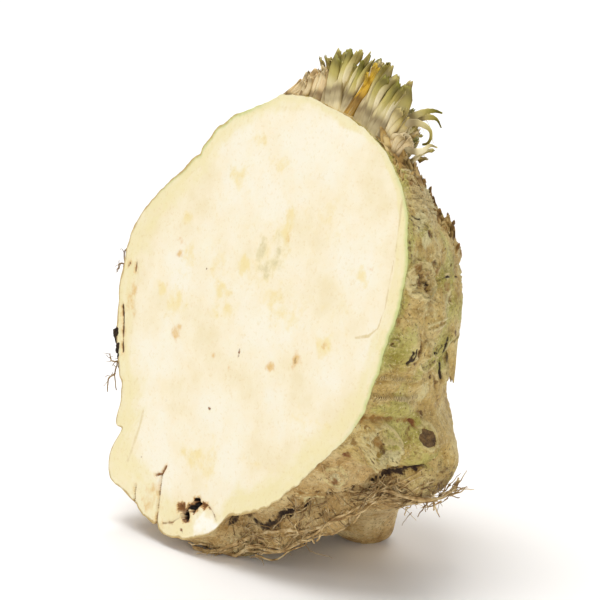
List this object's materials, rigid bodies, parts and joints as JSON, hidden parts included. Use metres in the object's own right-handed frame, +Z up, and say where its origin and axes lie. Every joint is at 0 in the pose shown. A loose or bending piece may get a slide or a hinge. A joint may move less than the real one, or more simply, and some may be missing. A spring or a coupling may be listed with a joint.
{
  "type": "halved celeriac",
  "caption": "Celeriac root cut in half down through its crown, standing on its root end with the flat cut face leaning back and a tuft of trimmed leaf stalks on top.",
  "frame": {"origin": "centre of the bounding box's base, on the surface that the root tips rest on", "axes": "+Z up; -Y is the side of the cut face, which leans back; +X is to the right as the face is looked at"},
  "size_m": [0.1298, 0.0744, 0.1482],
  "materials": {
    "skin": "matt, rough plant skin in yellow-green, tan and brown",
    "cut_flesh": "moist cream cut flesh",
    "stalk": "ribbed, grey-white to green leaf bases",
    "yellow_stalk": "withered yellow stalk",
    "root": "dry straw-coloured root fibre",
    "soil": "damp black soil"
  },
  "bodies": {
    "root": {"bulb_half": "skin", "leaf_stalks": "stalk", "yellow_stalk": "yellow_stalk", "root_fibres_front": "root", "root_fibres_right": "root", "root_fibres_back": "root", "rootlet_upper": "root", "rootlet_lower": "root", "soil_clump": "soil"}
  },
  "joints": []
}
